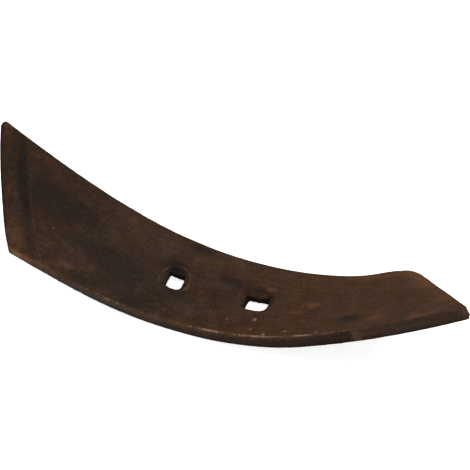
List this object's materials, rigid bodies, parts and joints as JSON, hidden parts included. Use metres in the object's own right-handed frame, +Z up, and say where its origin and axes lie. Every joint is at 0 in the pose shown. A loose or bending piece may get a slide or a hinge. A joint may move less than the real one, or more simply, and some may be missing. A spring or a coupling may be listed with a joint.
{
  "type": "cultivator point",
  "caption": "Twisted, bowl-bent forged steel cultivator point with skew thinned ends and countersunk square-necked bolt holes, for a shank.",
  "frame": {"origin": "on the floor, under the middle of the blade's box, the blade lying on its convex side", "axes": "+X along the bar at the bolt holes, from the tightly bent end with the square hole towards the straighter end with the slot; +Y across the bar; +Z up, out of the hollow side"},
  "size_m": [0.3728, 0.0944, 0.1395],
  "materials": {
    "forged_steel": "matt mill scale gone brown with light rust, edges a little brighter"
  },
  "bodies": {
    "root": {"cultivator_point": "forged_steel"}
  },
  "joints": []
}
